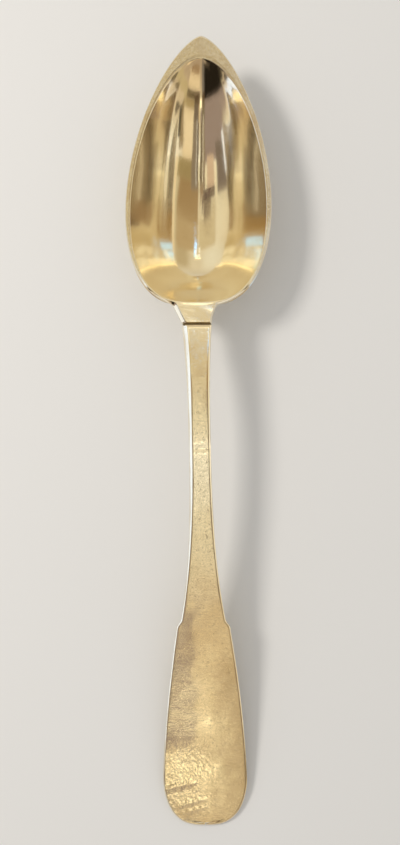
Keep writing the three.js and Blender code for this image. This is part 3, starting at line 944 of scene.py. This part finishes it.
def silver(name, tint, deep_tint, polish, marks, graininess, extra_height=None):
    """Silver with tarnish, scratches as strong as marks says and grain as strong as graininess says."""
    material, nodes = new_material(name)
    place = nodes.add("TexCoord").outputs["Object"]
    cloud = nodes.noise(place, *TARNISH_CLOUD)
    haze = nodes.noise(place, *HAZE)
    grain = nodes.noise(place, *GRAIN)
    lines = 0.0
    for seed, (turn, length, width) in enumerate(SCRATCHES, 1):
        lines = nodes.math("MAXIMUM", lines, scratches(nodes, place, turn, length, width, seed))
    colour = nodes.blend(nodes.ramp(cloud, *TARNISH_RANGE), rgb(*tint), rgb(*deep_tint))
    rough = nodes.math("MULTIPLY_ADD", haze, HAZE_ROUGHNESS, polish - HAZE_ROUGHNESS / 2)
    rough = nodes.math("MULTIPLY_ADD", lines, SCRATCH_ROUGHNESS * marks, rough)
    height = nodes.math("MULTIPLY", lines, -SCRATCH_DEPTH * marks)
    height = nodes.math("MULTIPLY_ADD", grain, graininess, height)
    if extra_height:
        height = nodes.math("ADD", height, extra_height(nodes, place))
    finish_metal(nodes, colour, rough, height, SILVER_BUMP)
    return material


def orange_peel(nodes, place):
    """Pits, dimples on the left of the handle's end, and short crosswise scratches near its left edge."""
    split = nodes.add("SeparateXYZ", {"Vector": place})
    x, y = split.outputs["X"], split.outputs["Y"]
    low = nodes.ramp(y, *PEEL_Y_RANGE, 1.0, 0.0)
    left = nodes.ramp(x, *PEEL_X_RANGE, 1.0, 0.0)
    peel = nodes.math("MULTIPLY", nodes.math("MULTIPLY", low, left), nodes.noise(place, *PEEL))
    pits = nodes.ramp(nodes.noise(place, *PITS), *PIT_RANGE)
    stretched = nodes.mapped(place, 0, DASH_STRETCH)
    dashes = nodes.ramp(nodes.noise(stretched, 1.0, 1.0), *DASH_RANGE)
    at_edge = nodes.ramp(x, *DASH_X_RANGE, 1.0, 0.0)
    on_fiddle = nodes.ramp(y, *DASH_Y_RANGE, 1.0, 0.0)
    scored = nodes.math("MULTIPLY", nodes.math("MULTIPLY", at_edge, on_fiddle), dashes)
    marked = nodes.math("MAXIMUM", scored, pits)
    return nodes.math("MULTIPLY_ADD", marked, -MARK_DEPTH, nodes.math("MULTIPLY", peel, PEEL_HEIGHT))


def rim_material():
    """The filed flat of the rim: satin and speckled, where the hollow beside it is a mirror."""
    material, nodes = new_material("rim_silver")
    place = nodes.add("TexCoord").outputs["Object"]
    cloud = nodes.noise(place, *RIM_CLOUD)
    speckle = nodes.noise(place, *RIM_SPECKLE)
    grain = nodes.noise(place, *RIM_GRAIN)
    dark, light, tarnished = [rgb(*tint) for tint in RIM_TINTS]
    colour = nodes.blend(nodes.ramp(speckle, *RIM_SPECKLE_RANGE), dark, light)
    colour = nodes.blend(nodes.ramp(cloud, *RIM_CLOUD_RANGE, 0.0, RIM_CLOUD_SHARE), colour, tarnished)
    least, most = RIM_ROUGHNESS
    rough = nodes.math("MULTIPLY_ADD", speckle, most - least, least)
    height = nodes.math("MULTIPLY_ADD", speckle, RIM_SPECKLE_HEIGHT, grain)
    finish_metal(nodes, colour, rough, height, RIM_BUMP)
    return material


def solder_material():
    material, nodes = new_material("silver_solder")
    place = nodes.add("TexCoord").outputs["Object"]
    grain = nodes.noise(place, *SOLDER_GRAIN)
    # Dark tints: partly tarnish, partly painted shade of the groove at the seam
    light, dark = [rgb(*tint) for tint in SOLDER_TARNISH_AND_SHADE_TINTS]
    colour = nodes.blend(nodes.noise(place, *SOLDER_CLOUD), light, dark)
    least, most = SOLDER_ROUGHNESS
    finish_metal(nodes, colour, nodes.math("MULTIPLY_ADD", grain, most - least, least), grain, SOLDER_BUMP)
    return material


def floor_material():
    material, nodes = new_material("floor_paper")
    finish_material(nodes, {"Base Color": rgb(*FLOOR_TINT), "Roughness": FLOOR_ROUGHNESS})
    return material


def make_floor():
    bpy.ops.mesh.primitive_plane_add(size=FLOOR_SIZE * MM, location=(0, 0, -FLOOR_DROP * MM))
    floor = bpy.context.object
    floor.name = "floor"
    floor.data.materials.append(floor_material())


def make_world():
    """The studio that the silver mirrors: a ceiling and a pale horizon, with bright and dark panels."""
    world = bpy.data.worlds.new("studio")
    bpy.context.scene.world = world
    world.use_nodes = True
    nodes = Nodes(world.node_tree)
    direction = nodes.add("TexCoord").outputs["Generated"]
    split = nodes.add("SeparateXYZ", {"Vector": direction})
    spread = nodes.math("MAXIMUM", nodes.math("ADD", split.outputs["Z"], 1.0), LEAST_SPREAD)
    across = nodes.math("DIVIDE", split.outputs["X"], spread)
    along = nodes.math("DIVIDE", split.outputs["Y"], spread)
    place = nodes.add("CombineXYZ", {"X": across, "Y": along}).outputs["Vector"]
    ceiling = nodes.ramp_colour(nodes.math("MULTIPLY_ADD", along, 0.5, 0.5), CEILING)
    outwards = nodes.add("VectorMath", {0: place}, operation="LENGTH").outputs["Value"]
    colour = nodes.blend(nodes.ramp(outwards, *HORIZON_RANGE), ceiling, rgb(*HORIZON))
    for tint, middle, half_size, turn, soft in PANELS:
        moved = nodes.add("VectorMath", {0: place, 1: (*middle, 0)}, operation="SUBTRACT").outputs[0]
        turned = nodes.add("SeparateXYZ", {"Vector": nodes.mapped(moved, -math.radians(turn))})
        x_mask = nodes.band(turned.outputs["X"], -half_size[0], half_size[0], soft)
        y_mask = nodes.band(turned.outputs["Y"], -half_size[1], half_size[1], soft)
        colour = nodes.blend(nodes.math("MULTIPLY", x_mask, y_mask), colour, rgb(*tint))
    rays = nodes.add("LightPath")
    seen = nodes.blend(rays.outputs["Is Glossy Ray"], rgb(*ROOM_LIGHT), colour)
    seen = nodes.blend(rays.outputs["Is Camera Ray"], seen, rgb(*BACKDROP))
    background = nodes.add("Background", {"Color": seen, "Strength": 1.0})
    output = nodes.add("OutputWorld")
    nodes.feed(output.inputs["Surface"], background.outputs["Background"])


def area_light(name, place, aim, size, power, tint):
    data = bpy.data.lights.new(name, "AREA")
    data.shape = "RECTANGLE"
    data.size, data.size_y = size[0] * MM, size[1] * MM
    data.energy = power
    data.color = tint
    light = bpy.data.objects.new(name, data)
    bpy.context.scene.collection.objects.link(light)
    light.location = [value * MM for value in place]
    towards = Vector(aim) * MM - light.location
    light.rotation_mode = "QUATERNION"
    light.rotation_quaternion = towards.to_track_quat("-Z", "Y")
    light.visible_camera = False
    light.visible_glossy = False


def make_lights():
    area_light(
        "key",
        place=(-620, 300, 700),
        aim=(0, 0, 0),
        size=(200, 200),
        power=4.5,
        tint=(1.0, 0.96, 0.90),
    )


def make_camera():
    data = bpy.data.cameras.new("camera")
    data.sensor_fit = "AUTO"
    data.sensor_width = SENSOR
    data.lens = SENSOR * CAMERA_HEIGHT / (PHOTO_HEIGHT * MM_PER_PIXEL)
    camera = bpy.data.objects.new("camera", data)
    bpy.context.scene.collection.objects.link(camera)
    camera.location = (CAMERA_X * MM, CAMERA_Y * MM, CAMERA_HEIGHT * MM)
    camera.rotation_euler = (0, 0, math.radians(CAMERA_TURN))
    bpy.context.scene.camera = camera


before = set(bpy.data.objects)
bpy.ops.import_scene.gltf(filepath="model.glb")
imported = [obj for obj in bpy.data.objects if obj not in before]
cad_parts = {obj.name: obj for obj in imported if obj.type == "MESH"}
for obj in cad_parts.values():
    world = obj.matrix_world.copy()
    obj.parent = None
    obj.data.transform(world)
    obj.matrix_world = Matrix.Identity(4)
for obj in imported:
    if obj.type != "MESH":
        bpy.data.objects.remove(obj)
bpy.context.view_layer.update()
make_camera()
bowl_silver = silver(
    "bowl_silver",
    tint=(0.88, 0.80, 0.63),
    deep_tint=(0.82, 0.72, 0.54),
    polish=0.03,
    marks=0.4,
    graininess=0.02,
)
handle_silver = silver(
    "handle_silver",
    tint=(0.87, 0.79, 0.62),
    deep_tint=(0.80, 0.70, 0.52),
    polish=0.035,
    marks=0.45,
    graininess=0.012,
    extra_height=orange_peel,
)
solder = solder_material()
make_bowl(bowl_silver, rim_material())
make_handle(handle_silver)
make_lap_solder(solder)
make_drop_solder(solder)
make_floor()
make_world()
make_lights()
bpy.context.scene.view_settings.view_transform = "Standard"
